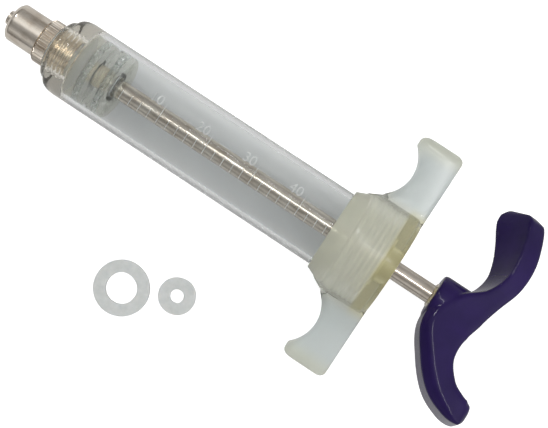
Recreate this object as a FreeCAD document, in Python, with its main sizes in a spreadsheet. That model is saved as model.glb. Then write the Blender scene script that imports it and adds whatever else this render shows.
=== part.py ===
"""Piston injector for marinade, 50 ml: a clear barrel with a screw-in lock nozzle at the nose, a finger-grip cap
screwed on its rear end, and a plunger (two-ring piston, rod and palm handle) that slides and turns inside.

Frame: +X runs along the barrel axis from the nozzle tip to the handle, +Y towards one finger wing, +Z up.
The origin is the tip of the nozzle cone, on the axis. Millimetres.
"""
import FreeCAD, Part
import os
import re
import Sketcher

Vector = FreeCAD.Vector

# Driving sizes. Places along the axis end in _x and are measured from the nozzle tip.
SIZES = {
    # clearances
    "thread_gap": 0.05,          # radial, between the two halves of a screw thread
    "press_gap": 0.02,           # radial, pieces pressed or bonded together
    "slide_gap": 0.10,           # radial, rod in its bush
    "seal_gap": 0.06,            # radial, seal rings in the bore
    "loose_gap": 0.30,           # radial, hard pieces that pass each other
    "soft_gap": 0.10,            # axial, each side of a soft ring
    # nozzle
    "cone_tip_d": 5.6,
    "cone_base_d": 6.2,
    "cone_bore_d": 2.4,
    "collar_x": 2.2,
    "collar_len": 13.0,
    "collar_d": 15.0,
    "collar_bore_d": 9.8,
    "collar_chamfer": 1.3,
    "spigot_len": 6.0,
    "knurl_step": 1.45,          # radial, knurled flange over the stem
    "knurl_len": 4.9,
    "knurl_chamfer": 0.7,
    "stem_d": 14.7,
    "stem_len": 9.3,
    "washer_rim": 0.95,          # radial, washer over the stem
    "washer_len": 0.8,
    "gasket_hole_d": 5.4,
    "gasket_len": 2.0,
    # barrel
    "barrel_d": 30.0,
    "bore_d": 25.4,
    "barrel_len": 142.2,
    "neck_wall": 1.85,
    "neck_round_len": 2.9,
    "neck_rise": 2.9,            # radial, from the neck to the shoulder's step
    "shoulder_step": 0.4,
    "shoulder_len": 5.7,
    "front_wall": 11.0,
    "lip_len": 0.5,
    "outlet_d": 8.0,
    "barrel_thread_depth": 0.5,
    "barrel_thread_len": 16.5,   # with a short relief before the first turn
    "cap_seat_gap": 0.2,         # axial, between the cap's mouth and the step it screws up to
    # finger-grip cap
    "cap_mouth_wall": 1.2,
    "cap_mouth_len": 4.4,
    "cap_lip_wall": 3.2,         # radial, over the barrel
    "cap_lip_len": 3.5,
    "cap_lip_step": 0.5,
    "cap_wall": 5.8,             # radial, over the barrel
    "cap_rear_wall": 5.6,
    "cap_rear_chamfer": 2.0,
    "wing_span": 93.8,
    "wing_thick": 12.0,
    "wing_len": 17.6,
    "wing_edge_round": 1.6,
    "wing_front_corner": 2.4,
    "wing_rear_corner": 1.2,
    "scoop_radius": 14.0,
    "scoop_to_tip": 14.9,        # from the scoop's centre out to the wing's tip
    "scoop_depth": 4.8,
    "stop_washer_d": 15.6,
    "stop_washer_len": 1.0,
    "bush_d": 11.0,
    # plunger
    "piston_front_gap": 0.2,
    "piston_plate_len": 4.3,
    "ring_hole_d": 12.2,
    "ring_len": 2.4,
    "ring_hub_d": 11.8,
    "piston_core_len": 5.6,
    "rear_plate_len": 2.5,
    "rear_plate_seat": 0.9,
    "insert_d": 8.5,
    "insert_depth": 2.0,
    "stud_d": 5.0,
    "stud_len": 8.5,
    "rod_d": 7.2,
    "handle_stand": 18.5,        # the rod's full diameter beyond the cap, plunger pushed in
    "handle_stud_d": 6.0,
    "handle_stud_len": 11.0,
    # handle
    "ferrule_d": 10.2,
    "ferrule_len": 2.4,
    "ferrule_recess": 1.6,
    "boss_d": 17.7,
    "boss_len": 14.0,
    "boss_round": 1.4,
    "handle_insert_d": 11.0,
    "handle_insert_len": 13.0,
    "handle_width": 18.0,
    "handle_turn": 12.0,         # degrees about the axis, far arm down
    "handle_corner": 2.4,
    # spare rings lying beside the injector
    "spare_ring_d": 21.8,
    "spare_ring_x": 87.7,
    "spare_ring_y": 62.3,
    "spare_gasket_x": 107.0,
    "spare_gasket_y": 53.2,
}

# Places along the axis and sizes of mating pieces, worked out in the sheet from the sizes above.
DERIVED = {
    "knurl_d": "stem_d + 2 * knurl_step",
    "washer_d": "stem_d + 2 * washer_rim",
    "gasket_d": "stem_d - 2 * thread_gap",
    "neck_d": "stem_d + 2 * neck_wall",
    "neck_step_d": "neck_d + 2 * neck_rise",
    "barrel_thread_d": "barrel_d - 2 * barrel_thread_depth",
    "cap_lip_d": "barrel_d + 2 * cap_lip_wall",
    "cap_d": "barrel_d + 2 * cap_wall",
    "scoop_y": "wing_span / 2 - scoop_to_tip",
    "knurl_x": "collar_x + collar_len",
    "washer_x": "knurl_x + knurl_len",
    "neck_x": "washer_x + washer_len",
    "chamber_x": "neck_x + front_wall",
    "gasket_x": "chamber_x - lip_len - gasket_len",
    "barrel_end_x": "neck_x + barrel_len",
    "barrel_thread_x": "barrel_end_x - barrel_thread_len",
    "cap_x": "barrel_thread_x - cap_mouth_len",
    "barrel_step_x": "cap_x - cap_seat_gap",
    "cap_floor_x": "barrel_end_x + soft_gap",
    "cap_end_x": "cap_floor_x + cap_rear_wall",
    "bush_x": "cap_floor_x + stop_washer_len + 2 * soft_gap",
    "wing_front_x": "cap_end_x - wing_len",
    "piston_x": "chamber_x + piston_front_gap",
    "front_ring_x": "piston_x + piston_plate_len",
    "piston_core_x": "front_ring_x + ring_len + 2 * soft_gap",
    "rear_ring_x": "piston_core_x + piston_core_len",
    "rear_plate_x": "rear_ring_x + ring_len + 2 * soft_gap",
    "insert_x": "piston_core_x - insert_depth",
    "rod_x": "rear_plate_x + rear_plate_seat",
    "rod_end_x": "cap_end_x + handle_stand",
    "ferrule_x": "rod_end_x - ferrule_len",
    "boss_x": "rod_end_x - ferrule_recess",
    "piston_d": "bore_d - 2 * loose_gap",
    "ring_d": "bore_d - 2 * seal_gap",
}

# The palm handle, from the tip of the arm that hooks forward to the tip of the arm that sweeps back.
# Each station: behind the boss's front face, out from the axis, thickness, share of the full width, twist in degrees.
HANDLE_STATIONS = [
    (9.4, 42.8, 4.6, 0.62, -36),
    (11.2, 41.6, 7.0, 0.84, -36),
    (13.9, 38.8, 8.4, 0.96, -34),
    (17.1, 33.2, 8.8, 1.00, -28),
    (19.4, 26.0, 8.6, 1.00, -22),
    (19.9, 18.0, 7.8, 1.00, -16),
    (17.4, 9.5, 8.4, 1.00, -10),
    (13.0, 1.0, 14.0, 1.00, -4),
    (9.4, -8.0, 18.0, 1.00, 0),
    (12.6, -19.0, 12.2, 1.00, 0),
    (19.0, -27.2, 10.6, 1.00, 0),
    (25.6, -30.8, 9.4, 0.97, 0),
    (30.2, -31.6, 7.6, 0.82, 0),
    (32.4, -31.4, 5.2, 0.58, 0),
]

CORNER_SHARE = 0.42              # the largest edge radius, as a share of the arm's thickness

doc = FreeCAD.newDocument("Injector")
sheet = doc.addObject("Spreadsheet::Sheet", "Sizes")


def in_sheet(formula):
    """Turn the plain names in a formula into references to the sheet's cells."""
    return re.sub(r"[a-z]\w*", lambda word: "Sizes." + word.group(0), formula)


def value(formula):
    """The number that a formula has now, in millimetres or degrees."""
    return float(sheet.evalExpression(in_sheet(formula)))


def fill_sheet():
    row = 0
    for name, content in list(SIZES.items()) + list(DERIVED.items()):
        row += 1
        sheet.set("A%d" % row, name)
        sheet.set("B%d" % row, str(content) if name in SIZES else "=" + content)
        sheet.setAlias("B%d" % row, name)
    doc.recompute()


def new_body(label):
    body = doc.addObject("PartDesign::Body", label)
    body.Label = label
    return body


def origin_plane(body, role):
    return [plane for plane in body.Origin.OriginFeatures if plane.Role == role][0]


def polygon_sketch(body, name, role, corners):
    """A closed outline of straight sides on an origin plane, each corner bound to two formulas."""
    sketch = body.newObject("Sketcher::SketchObject", name)
    sketch.AttachmentSupport = (origin_plane(body, role), [""])
    sketch.MapMode = "FlatFace"
    points = [Vector(value(across), value(up), 0) for across, up in corners]
    count = len(corners)
    for index in range(count):
        sketch.addGeometry(Part.LineSegment(points[index], points[(index + 1) % count]), False)
    for index in range(count):
        sketch.addConstraint(Sketcher.Constraint("Coincident", index, 2, (index + 1) % count, 1))
    for index, (across, up) in enumerate(corners):
        for kind, number, formula in (("DistanceX", points[index].x, across), ("DistanceY", points[index].y, up)):
            constraint = sketch.addConstraint(Sketcher.Constraint(kind, -1, 1, index, 1, number))
            sketch.setExpression("Constraints[%d]" % constraint, in_sheet(formula))
    return sketch


def turned(label, corners):
    """A piece of revolution about the barrel axis, from (place along the axis, radius) corners."""
    body = new_body(label)
    add_turned(body, label, corners)
    return body


def add_turned(body, name, corners, kind="PartDesign::Revolution"):
    sketch = polygon_sketch(body, name + "_outline", "XZ_Plane", corners)
    feature = body.newObject(kind, name + "_turned")
    feature.Profile = sketch
    feature.ReferenceAxis = (sketch, ["H_Axis"])
    feature.Angle = 360
    sketch.Visibility = False
    return feature


def ring(label, start, length, outer, hole):
    """A plain ring from start, with formulas for its length and its two diameters."""
    end = start + " + " + length
    outer_radius = "(" + outer + ") / 2"
    hole_radius = "(" + hole + ") / 2"
    return turned(label, [
        (start, hole_radius),
        (start, outer_radius),
        (end, outer_radius),
        (end, hole_radius),
    ])


def make_nozzle():
    """The turned brass stem with its cone, knurled flange and thread, the lock collar on it, and two seals."""
    turned("nozzle_stem", [
        ("0", "cone_bore_d / 2"),
        ("0", "cone_tip_d / 2"),
        ("knurl_x - spigot_len", "cone_base_d / 2"),
        ("knurl_x - spigot_len", "collar_bore_d / 2 - press_gap"),
        ("knurl_x", "collar_bore_d / 2 - press_gap"),
        ("knurl_x", "knurl_d / 2 - knurl_chamfer"),
        ("knurl_x + knurl_chamfer", "knurl_d / 2"),
        ("washer_x", "knurl_d / 2"),
        ("washer_x", "stem_d / 2"),
        ("washer_x + stem_len", "stem_d / 2"),
        ("washer_x + stem_len", "cone_bore_d / 2"),
    ])
    turned("lock_collar", [
        ("collar_x", "collar_bore_d / 2"),
        ("collar_x", "collar_d / 2 - collar_chamfer"),
        ("collar_x + collar_chamfer", "collar_d / 2"),
        ("knurl_x", "collar_d / 2"),
        ("knurl_x", "collar_bore_d / 2"),
    ])
    ring("nozzle_washer", "washer_x", "washer_len", "washer_d", "stem_d + 2 * soft_gap")
    ring("nozzle_gasket", "gasket_x", "gasket_len", "gasket_d", "gasket_hole_d")


def make_barrel():
    """The clear barrel: a threaded neck, a stepped shoulder, the bore, and a turned-down end with the cap's thread."""
    turned("barrel", [
        ("neck_x", "stem_d / 2 + thread_gap"),
        ("neck_x", "neck_d / 2"),
        ("neck_x + neck_round_len / 3", "neck_d / 2 + 2 * neck_rise / 3"),
        ("neck_x + neck_round_len", "neck_step_d / 2"),
        ("neck_x + neck_round_len", "neck_step_d / 2 + shoulder_step"),
        ("neck_x + neck_round_len + 2 * shoulder_len / 3", "barrel_d / 2 - shoulder_step"),
        ("neck_x + neck_round_len + shoulder_len", "barrel_d / 2"),
        ("barrel_step_x", "barrel_d / 2"),
        ("barrel_step_x", "barrel_thread_d / 2"),
        ("barrel_end_x", "barrel_thread_d / 2"),
        ("barrel_end_x", "bore_d / 2"),
        ("chamber_x", "bore_d / 2"),
        ("chamber_x", "outlet_d / 2"),
        ("chamber_x - lip_len", "outlet_d / 2"),
        ("chamber_x - lip_len", "stem_d / 2 + thread_gap"),
    ])


def wing_plate(body):
    """The flat plate that carries both finger wings, its scoops and rounded edges, as the body's first features."""
    outline = polygon_sketch(body, "wing_outline", "XY_Plane", [
        ("cap_end_x", "wing_span / 2"),
        ("wing_front_x", "wing_span / 2"),
        ("wing_front_x", "cap_d / 2"),
        ("cap_x + cap_lip_len + cap_lip_step", "cap_lip_d / 2"),
        ("cap_x + cap_lip_len + cap_lip_step", "-cap_lip_d / 2"),
        ("wing_front_x", "-cap_d / 2"),
        ("wing_front_x", "-wing_span / 2"),
        ("cap_end_x", "-wing_span / 2"),
    ])
    plate = body.newObject("PartDesign::Pad", "wing_plate")
    plate.Profile = outline
    plate.SideType = "Symmetric"
    plate.setExpression("Length", in_sheet("wing_thick"))
    doc.recompute()
    volume = plate.Shape.Volume

    scoops = body.newObject("Sketcher::SketchObject", "scoop_circles")
    scoops.AttachmentSupport = (origin_plane(body, "XY_Plane"), [""])
    scoops.MapMode = "FlatFace"
    radius = value("scoop_radius")
    centre_x = "wing_front_x + scoop_depth - scoop_radius"
    for index, side in enumerate(("scoop_y", "-scoop_y")):
        centre = Vector(value(centre_x), value(side), 0)
        scoops.addGeometry(Part.Circle(centre, Vector(0, 0, 1), radius), False)
        for kind, number, formula in (("DistanceX", centre.x, centre_x), ("DistanceY", centre.y, side)):
            constraint = scoops.addConstraint(Sketcher.Constraint(kind, -1, 1, index, 3, number))
            scoops.setExpression("Constraints[%d]" % constraint, in_sheet(formula))
        constraint = scoops.addConstraint(Sketcher.Constraint("Radius", index, radius))
        scoops.setExpression("Constraints[%d]" % constraint, in_sheet("scoop_radius"))
    cut = body.newObject("PartDesign::Pocket", "finger_scoops")
    cut.Profile = scoops
    cut.SideType = "Symmetric"
    cut.setExpression("Length", in_sheet("2 * wing_thick"))
    doc.recompute()
    if cut.Shape.Volume >= volume:
        raise RuntimeError("the finger scoops cut nothing")

    front = round_edges(body, cut, "wing_front_corners", "wing_front_corner", is_corner("wing_front_x"))
    rear = round_edges(body, front, "wing_rear_corners", "wing_rear_corner", is_corner("cap_end_x"))
    half = value("wing_thick / 2")
    tip_side = value("cap_lip_d / 2")
    return round_edges(body, rear, "wing_rims", "wing_edge_round", lambda box: (
        box.ZLength < 0.01
        and abs(abs(box.ZMin) - half) < 0.01
        and max(abs(box.YMin), abs(box.YMax)) > tip_side + 0.01
        and box.YMin * box.YMax > -1.0
    ))


def is_corner(place):
    """A test for the upright edges at a wing tip, at the given place along the axis."""
    across = value(place)
    tip = value("wing_span / 2")
    return lambda box: (
        box.ZLength > 1 and abs(box.XMin - across) < 0.01 and abs(abs(box.YMin) - tip) < 0.01
    )


def round_edges(body, feature, name, radius, wanted):
    """Fillet the edges of a feature whose bounding boxes pass the test."""
    names = [
        "Edge%d" % (index + 1)
        for index, edge in enumerate(feature.Shape.Edges)
        if wanted(edge.BoundBox)
    ]
    if not names:
        raise RuntimeError("no edges found for " + name)
    fillet = body.newObject("PartDesign::Fillet", name)
    fillet.Base = (feature, names)
    fillet.setExpression("Radius", in_sheet(radius))
    doc.recompute()
    return fillet


def make_cap():
    """The finger-grip cap with its threaded bore, the washer that stops the piston, and the rod's bush."""
    cap = new_body("grip_cap")
    wing_plate(cap)
    add_turned(cap, "cap_shell", [
        ("cap_x", "0"),
        ("cap_x", "barrel_d / 2 + cap_mouth_wall"),
        ("cap_x + cap_lip_len", "cap_lip_d / 2 - cap_lip_step"),
        ("cap_x + cap_lip_len + cap_lip_step", "cap_lip_d / 2"),
        ("wing_front_x", "cap_d / 2"),
        ("cap_end_x - cap_rear_chamfer", "cap_d / 2"),
        ("cap_end_x", "cap_d / 2 - cap_rear_chamfer"),
        ("cap_end_x", "0"),
    ])
    doc.recompute()
    volume = cap.Shape.Volume
    add_turned(cap, "cap_bore", [
        ("cap_x - 1", "0"),
        ("cap_x - 1", "barrel_thread_d / 2 + loose_gap"),
        ("barrel_thread_x", "barrel_thread_d / 2 + loose_gap"),
        ("barrel_thread_x", "barrel_thread_d / 2 + thread_gap"),
        ("cap_floor_x", "barrel_thread_d / 2 + thread_gap"),
        ("cap_floor_x", "stop_washer_d / 2 + soft_gap"),
        ("bush_x", "stop_washer_d / 2 + soft_gap"),
        ("bush_x", "bush_d / 2 + press_gap"),
        ("cap_end_x + 1", "bush_d / 2 + press_gap"),
        ("cap_end_x + 1", "0"),
    ], "PartDesign::Groove")
    doc.recompute()
    if cap.Shape.Volume >= volume:
        raise RuntimeError("the cap's bore cuts nothing")
    ring("stop_washer", "cap_floor_x + soft_gap", "stop_washer_len", "stop_washer_d", "rod_d + 2 * loose_gap")
    ring("rod_bush", "bush_x", "cap_end_x - bush_x", "bush_d", "rod_d + 2 * slide_gap")


def make_piston():
    """Two clear plates and a core that hold two silicone rings, drawn together on a brass insert and the rod's stud."""
    turned("piston_front_plate", [
        ("piston_x", "0"),
        ("piston_x", "piston_d / 2"),
        ("front_ring_x", "piston_d / 2"),
        ("front_ring_x", "ring_hub_d / 2"),
        ("piston_core_x", "ring_hub_d / 2"),
        ("piston_core_x", "insert_d / 2 + press_gap"),
        ("insert_x", "insert_d / 2 + press_gap"),
        ("insert_x", "0"),
    ])
    turned("piston_core", [
        ("piston_core_x", "insert_d / 2 + press_gap"),
        ("piston_core_x", "piston_d / 2"),
        ("rear_ring_x", "piston_d / 2"),
        ("rear_ring_x", "ring_hub_d / 2"),
        ("rear_plate_x", "ring_hub_d / 2"),
        ("rear_plate_x", "insert_d / 2 + press_gap"),
    ])
    for label, start in (("piston_front_ring", "front_ring_x"), ("piston_rear_ring", "rear_ring_x")):
        ring(label, start + " + soft_gap", "ring_len", "ring_d", "ring_hole_d")
    turned("piston_rear_plate", [
        ("rear_plate_x", "stud_d / 2 + press_gap"),
        ("rear_plate_x", "piston_d / 2"),
        ("rear_plate_x + rear_plate_len", "piston_d / 2"),
        ("rear_plate_x + rear_plate_len", "rod_d / 2 + press_gap"),
        ("rod_x", "rod_d / 2 + press_gap"),
        ("rod_x", "stud_d / 2 + press_gap"),
    ])
    turned("piston_insert", [
        ("insert_x", "0"),
        ("insert_x", "insert_d / 2"),
        ("rear_plate_x", "insert_d / 2"),
        ("rear_plate_x", "stud_d / 2 + press_gap"),
        ("rod_x - stud_len", "stud_d / 2 + press_gap"),
        ("rod_x - stud_len", "0"),
    ])


def make_rod():
    """The nickel-plated rod with a threaded stud at each end, and the ferrule where it enters the handle."""
    turned("rod", [
        ("rod_x - stud_len", "0"),
        ("rod_x - stud_len", "stud_d / 2"),
        ("rod_x", "stud_d / 2"),
        ("rod_x", "rod_d / 2"),
        ("rod_end_x", "rod_d / 2"),
        ("rod_end_x", "handle_stud_d / 2"),
        ("rod_end_x + handle_stud_len", "handle_stud_d / 2"),
        ("rod_end_x + handle_stud_len", "0"),
    ])
    ring("rod_ferrule", "ferrule_x", "ferrule_len", "ferrule_d", "rod_d + 2 * press_gap")
    turned("handle_insert", [
        ("rod_end_x", "handle_stud_d / 2 + press_gap"),
        ("rod_end_x", "handle_insert_d / 2"),
        ("rod_end_x + handle_insert_len", "handle_insert_d / 2"),
        ("rod_end_x + handle_insert_len", "0"),
        ("rod_end_x + handle_stud_len", "0"),
        ("rod_end_x + handle_stud_len", "handle_stud_d / 2 + press_gap"),
    ])


def station_wire(centre, along, thickness, width, twist, corner):
    """A rounded rectangle square to the arm: thickness in the arm's plane, width across it, then twisted."""
    turn = FreeCAD.Rotation(along, twist)
    across = turn.multVec(Vector(0, 0, 1))
    out = turn.multVec(along.cross(Vector(0, 0, 1)).normalize())
    corner = min(corner, CORNER_SHARE * thickness)
    flat_out = thickness / 2 - corner
    flat_across = width / 2 - corner
    reach = corner / 2 ** 0.5
    arcs = []
    for sign_out, sign_across in ((1, 1), (-1, 1), (-1, -1), (1, -1)):
        middle = centre + out * (sign_out * flat_out) + across * (sign_across * flat_across)
        side = middle + out * (sign_out * corner)
        face = middle + across * (sign_across * corner)
        bulge = middle + (out * sign_out + across * sign_across) * reach
        first, second = (side, face) if sign_out == sign_across else (face, side)
        arcs.append((first, bulge, second))
    edges = []
    for index, (first, bulge, second) in enumerate(arcs):
        edges.append(Part.Arc(first, bulge, second).toShape())
        edges.append(Part.LineSegment(second, arcs[(index + 1) % 4][0]).toShape())
    return Part.Wire(edges)


def make_handle():
    """The glossy palm handle: one arm hooks forward and one sweeps back from a round boss on the axis."""
    boss_x = value("boss_x")
    width = value("handle_width")
    corner = value("handle_corner")
    centres = [Vector(boss_x + back, out, 0) for back, out, _, _, _ in HANDLE_STATIONS]
    wires = []
    last = len(centres) - 1
    for index, (_, _, thickness, share, twist) in enumerate(HANDLE_STATIONS):
        along = centres[min(index + 1, last)] - centres[max(index - 1, 0)]
        along.normalize()
        wires.append(station_wire(centres[index], along, thickness, share * width, twist, corner))
    arms = Part.makeLoft(wires, True, False)
    axis = Vector(1, 0, 0)
    boss = Part.makeCylinder(value("boss_d / 2"), value("boss_len"), Vector(boss_x, 0, 0), axis)
    front_edges = [edge for edge in boss.Edges if edge.BoundBox.XMax < boss_x + 0.01]
    boss = boss.makeFillet(value("boss_round"), front_edges)
    seat = Part.makeCylinder(value("ferrule_d / 2 + press_gap"), value("ferrule_recess"), Vector(boss_x, 0, 0), axis)
    hole = Part.makeCylinder(
        value("handle_insert_d / 2 + press_gap"),
        value("ferrule_recess + handle_insert_len"),
        Vector(boss_x, 0, 0),
        axis,
    )
    handle = doc.addObject("Part::Feature", "handle")
    handle.Label = "handle"
    handle.Shape = arms.fuse(boss).removeSplitter().cut(hole).cut(seat)
    handle.Placement = FreeCAD.Placement(Vector(0, 0, 0), FreeCAD.Rotation(axis, -value("handle_turn")))


def make_spares():
    """The spare piston ring and nozzle gasket, lying on the same surface as the cap."""
    for label, length, outer, hole, along, aside in (
        ("spare_piston_ring", "ring_len", "spare_ring_d", "ring_hole_d", "spare_ring_x", "spare_ring_y"),
        ("spare_nozzle_gasket", "gasket_len", "gasket_d", "gasket_hole_d", "spare_gasket_x", "spare_gasket_y"),
    ):
        outside = doc.addObject("Part::Cylinder", label + "_disc")
        inside = doc.addObject("Part::Cylinder", label + "_hole")
        for cylinder, size in ((outside, outer), (inside, hole)):
            cylinder.setExpression("Radius", in_sheet(size + " / 2"))
            cylinder.setExpression("Height", in_sheet(length))
        spare = doc.addObject("Part::Cut", label)
        spare.Label = label
        spare.Base = outside
        spare.Tool = inside
        spare.setExpression("Placement.Base.x", in_sheet(along))
        spare.setExpression("Placement.Base.y", in_sheet("-" + aside))
        spare.setExpression("Placement.Base.z", in_sheet("-cap_d / 2"))


NODES = [
    "nozzle_stem", "lock_collar", "nozzle_washer", "nozzle_gasket", "barrel", "grip_cap", "stop_washer", "rod_bush",
    "piston_front_plate", "piston_core", "piston_front_ring", "piston_rear_ring", "piston_rear_plate",
    "piston_insert", "rod", "rod_ferrule", "handle_insert", "handle", "spare_piston_ring", "spare_nozzle_gasket",
]


def check_document():
    """Stop if any object failed or any piece has no sound shape."""
    for item in doc.Objects:
        if "Invalid" in item.State or "Error" in item.State:
            raise RuntimeError(item.Name + " failed: " + ", ".join(item.State))
    for label in NODES:
        shape = doc.getObjectsByLabel(label)[0].Shape
        if shape.isNull() or not shape.isValid():
            raise RuntimeError(label + " has no sound shape")


fill_sheet()
make_nozzle()
make_barrel()
make_cap()
make_piston()
make_rod()
make_handle()
make_spares()
doc.recompute()
check_document()
os.makedirs("parts", exist_ok=True)
for label in NODES:
    shape = doc.getObjectsByLabel(label)[0].Shape
    shape.exportStep("parts/" + label + ".step")
    print("%-20s %2d solid %9.1f mm3" % (label, len(shape.Solids), shape.Volume))
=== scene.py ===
"""The look of the meat injector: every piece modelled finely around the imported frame, in metres.

Sizes below are in millimetres and are turned into metres where a mesh is made. Places along the axis
are measured from the nozzle tip and start from the boxes of the CAD nodes.
"""

import math
import random

import bmesh
import bpy
from mathutils import Matrix, Vector, noise


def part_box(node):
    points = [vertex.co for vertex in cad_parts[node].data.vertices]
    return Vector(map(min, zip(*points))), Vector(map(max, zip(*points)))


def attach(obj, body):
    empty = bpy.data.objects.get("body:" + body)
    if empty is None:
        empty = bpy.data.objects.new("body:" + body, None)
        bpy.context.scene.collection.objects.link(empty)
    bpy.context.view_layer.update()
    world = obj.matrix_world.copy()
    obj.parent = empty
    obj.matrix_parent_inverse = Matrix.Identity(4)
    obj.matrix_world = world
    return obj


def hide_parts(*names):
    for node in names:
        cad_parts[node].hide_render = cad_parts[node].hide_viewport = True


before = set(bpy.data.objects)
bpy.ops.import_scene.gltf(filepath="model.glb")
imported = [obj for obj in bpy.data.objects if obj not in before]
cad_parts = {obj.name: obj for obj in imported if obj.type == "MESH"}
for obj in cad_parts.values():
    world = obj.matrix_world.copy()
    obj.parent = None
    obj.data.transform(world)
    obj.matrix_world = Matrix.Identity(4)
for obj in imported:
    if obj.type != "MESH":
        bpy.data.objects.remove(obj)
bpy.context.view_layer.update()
BOXES = {node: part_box(node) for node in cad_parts}

MM = 0.001
TURN = 2 * math.pi
ON_AXIS = 1e-6  # a smaller radius is a point on the axis
ARC_STEPS = 4  # steps that round one corner of an outline
ROUND_SHARE = 0.35  # the most of a side that one corner's rounding may take
HOLD_SHARE = 0.3  # an extra row of points this share of the rounding away keeps a side straight
SAME = 0.05  # radii that differ by less belong to one surface
SNUG = 0.02  # left between two pieces that fit tightly
OVERSHOOT = 1.0  # how far a cutting shape reaches past what it cuts
GROOVE, FLANK = 0.2, 0.6  # how a thread's height is shared between its groove and its slope
RUN_OUT = 0.4  # the share of a pitch in which a thread fades out


# -------- places from the frame

def ends(node):
    """Where a CAD node starts and ends along the axis, in millimetres."""
    low, high = BOXES[node]
    return low.x / MM, high.x / MM


def radius_of(node):
    """The radius of a CAD node that is round about the axis, in millimetres."""
    low, high = BOXES[node]
    return (high.z - low.z) / 2 / MM


def extent(node):
    """Where a round CAD node starts and ends along the axis, and its radius."""
    return (*ends(node), radius_of(node))


# -------- meshes

def as_object(name, bm, sharp=38):
    """A smooth-shaded object from a finished bmesh, with edges sharper than the angle kept crisp."""
    bmesh.ops.recalc_face_normals(bm, faces=bm.faces)
    mesh = bpy.data.meshes.new(name)
    bm.to_mesh(mesh)
    bm.free()
    return show_mesh(name, mesh, sharp)


def show_mesh(name, mesh, sharp=38):
    """A mesh put in the scene, smooth-shaded with its sharp edges kept crisp."""
    mesh.shade_smooth()
    mesh.set_sharp_from_angle(angle=math.radians(sharp))
    obj = bpy.data.objects.new(name, mesh)
    bpy.context.scene.collection.objects.link(obj)
    return obj


def baked(obj, *spent):
    """An object's mesh with its modifiers applied; the object and the spent ones are removed."""
    bpy.context.view_layer.update()
    mesh = bpy.data.meshes.new_from_object(obj.evaluated_get(bpy.context.evaluated_depsgraph_get()))
    for used in (obj, *spent):
        bpy.data.objects.remove(used)
    return mesh


def combined(name, base, tool, operation):
    """One object from two by a boolean; both of them are removed."""
    modifier = base.modifiers.new("join", "BOOLEAN")
    modifier.operation = operation
    modifier.object = tool
    modifier.solver = "MANIFOLD"
    return show_mesh(name, baked(base, tool))


def add_skin(bm, rings):
    """Faces from each ring of points to the next, and one across each end."""
    for first, second in zip(rings, rings[1:]):
        for side in range(len(first)):
            after = (side + 1) % len(first)
            bm.faces.new((first[side], first[after], second[after], second[side]))
    bm.faces.new(rings[0])
    bm.faces.new(rings[-1][::-1])


def sides_at(corners, index):
    """A corner's own point, and its reach to the corners before and after it."""
    before, here, after = (Vector(corners[(index + shift) % len(corners)][:2]) for shift in (-1, 0, 1))
    return here, before - here, after - here


def eased(here, before, after):
    """The points that round a corner; before and after reach from it along its two sides."""
    shares = [step / ARC_STEPS for step in range(ARC_STEPS + 1)]
    return [here + before * (1 - share) ** 2 + after * share ** 2 for share in shares]


def rounded(corners, closed=True):
    """An outline of (place, radius, rounding) corners as points, each corner eased into an arc."""
    points = []
    for index, (_, _, easing) in enumerate(corners):
        here, to_before, to_after = sides_at(corners, index)
        if easing == 0 or (not closed and index in (0, len(corners) - 1)):
            points.append(here)
            continue
        easing = min(easing, ROUND_SHARE * to_before.length, ROUND_SHARE * to_after.length)
        before, after = to_before.normalized() * easing, to_after.normalized() * easing
        points.append(here + before * (1 + HOLD_SHARE))
        points += eased(here, before, after)
        points.append(here + after * (1 + HOLD_SHARE))
    return points


def divided(points, start, end, step, closed=True):
    """The same outline with rows no further apart than step between two places along the axis."""
    made = []
    for here, after in zip(points, points[1:] + (points[:1] if closed else points[-1:])):
        made.append(here)
        low, high = sorted((here.x, after.x))
        if low < end and high > start and high - low > step:
            pieces = math.ceil((high - low) / step)
            made.extend(here.lerp(after, index / pieces) for index in range(1, pieces))
    return made


def lathe_mesh(points, sides, closed=True, shape=None):
    """A bmesh turned about the axis; shape(place, radius, angle) may change each point's radius."""
    bm = bmesh.new()
    rings = []
    for place, radius in points:
        if radius < ON_AXIS:
            rings.append([bm.verts.new((place * MM, 0, 0))])
            continue
        ring = []
        for side in range(sides):
            angle = TURN * side / sides
            reach = shape(place, radius, angle) if shape else radius
            spot = (place * MM, reach * math.cos(angle) * MM, reach * math.sin(angle) * MM)
            ring.append(bm.verts.new(spot))
        rings.append(ring)
    for first, second in zip(rings, rings[1:] + (rings[:1] if closed else [])):
        for side in range(sides):
            corners = []
            for ring, number in ((first, side), (first, side + 1), (second, side + 1), (second, side)):
                vert = ring[number % len(ring)]
                if vert not in corners:
                    corners.append(vert)
            if len(corners) > 2:
                bm.faces.new(corners)
    return bm


def turned(name, corners, sides=128, closed=True, shape=None, rows=None, sharp=38):
    """A turned piece from corners; rows is (start, end, step) where its surface needs fine rows."""
    points = rounded(corners, closed)
    if rows:
        points = divided(points, *rows, closed=closed)
    return as_object(name, lathe_mesh(points, sides, closed, shape), sharp)


def tube(start, end, hole, outer, roundings):
    """The corners of a plain ring, from the front of its hole to the rear."""
    return list(zip((start, start, end, end), (hole, outer, outer, hole), roundings))


def ridge(place, angle, pitch, start, end, plain=(0, 0), starts=1):
    """How high on a right-hand thread a point lies: 0 in the groove and on plain lengths, 1 on the crest."""
    start, end = start + plain[0], end - plain[1]
    turn = ((place - start) / pitch - angle / TURN * starts) % 1.0
    level = min(1.0, max(0.0, (1 - abs(2 * turn - 1) - GROOVE) / FLANK))
    fading = min(1.0, max(0.0, min(place - start, end - place) / (RUN_OUT * pitch)))
    return level * level * (3 - 2 * level) * fading


def wave(count, angle):
    """0 on each of count ribs round the axis and 1 half-way between two."""
    return 0.5 - 0.5 * math.cos(count * angle)


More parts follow.
